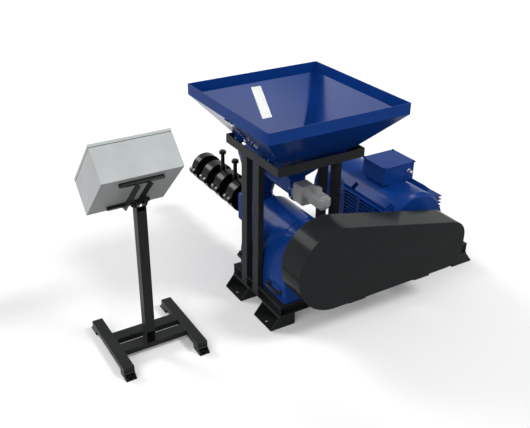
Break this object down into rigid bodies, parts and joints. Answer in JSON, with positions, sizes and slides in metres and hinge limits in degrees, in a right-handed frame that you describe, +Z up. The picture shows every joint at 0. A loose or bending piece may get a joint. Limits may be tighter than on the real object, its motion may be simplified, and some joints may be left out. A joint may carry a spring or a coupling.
{
  "type": "plastic extruder",
  "caption": "Single-screw plastic extruder with top hopper, screw feeder, belt drive under a guard, clamped barrel and a separate tilting control cabinet on a stand",
  "frame": {"origin": "bottom centre of the overall box, on the floor", "axes": "+X along the belt drive from the gearbox to the motor, +Y along the barrel to its outlet, +Z up"},
  "size_m": [2.762, 1.95, 1.442],
  "materials": {
    "frame_grey": "satin",
    "machine_blue": "semi-gloss",
    "barrel_black": "semi-gloss",
    "gearmotor_grey": "satin",
    "cabinet_grey": "satin",
    "sight_glass": "clear",
    "plated_steel": "plated"
  },
  "bodies": {
    "machine": {"barrel_end_flange": "barrel_black", "barrel_tube": "barrel_black", "base_cross_channels": "frame_grey", "base_end_channels": "frame_grey", "base_feet": "frame_grey", "base_front_channel": "frame_grey", "base_rear_channel": "frame_grey", "belt_guard": "frame_grey", "feed_funnel": "machine_blue", "feed_throat": "machine_blue", "feeder_gearbox": "gearmotor_grey", "feeder_motor": "gearmotor_grey", "feeder_tube": "machine_blue", "gearbox_handles": "frame_grey", "gearbox_housing": "machine_blue", "guard_back_plate": "frame_grey", "guard_standoffs": "frame_grey", "heater_bands": "barrel_black", "hopper_front": "machine_blue", "hopper_left": "machine_blue", "hopper_lugs": "machine_blue", "hopper_outlet": "machine_blue", "hopper_rear": "machine_blue", "hopper_right": "machine_blue", "motor_base_plate": "frame_grey", "motor_drive_shield": "machine_blue", "motor_fan_cowl": "machine_blue", "motor_frame": "machine_blue", "ring_front_rear": "frame_grey", "ring_sides": "frame_grey", "sensor_knobs": "barrel_black", "sight_windows": "sight_glass", "stand_cross_bars": "frame_grey", "stand_feet": "frame_grey", "stand_post": "frame_grey", "stand_rails": "frame_grey", "support_posts": "frame_grey", "terminal_box": "machine_blue", "terminal_box_lid": "machine_blue", "tilt_pin": "plated_steel"},
    "cabinet": {"cabinet_body": "cabinet_grey", "cabinet_hinges": "cabinet_grey", "cabinet_rails": "frame_grey", "cabinet_brackets": "frame_grey"},
    "cabinet_door": {"cabinet_door": "cabinet_grey"}
  },
  "joints": [
    {"name": "cabinet_tilt", "type": "hinge", "parent": "machine", "child": "cabinet", "pos_m": [-1.134, -0.475, 1.03], "axis": [1, 0, 0], "range_deg": [-40, 30]},
    {"name": "cabinet_door_hinge", "type": "hinge", "parent": "cabinet", "child": "cabinet_door", "pos_m": [-0.8835, -0.2594, 1.23005], "axis": [0, 0.7009, -0.7133], "range_deg": [0, 120]}
  ]
}
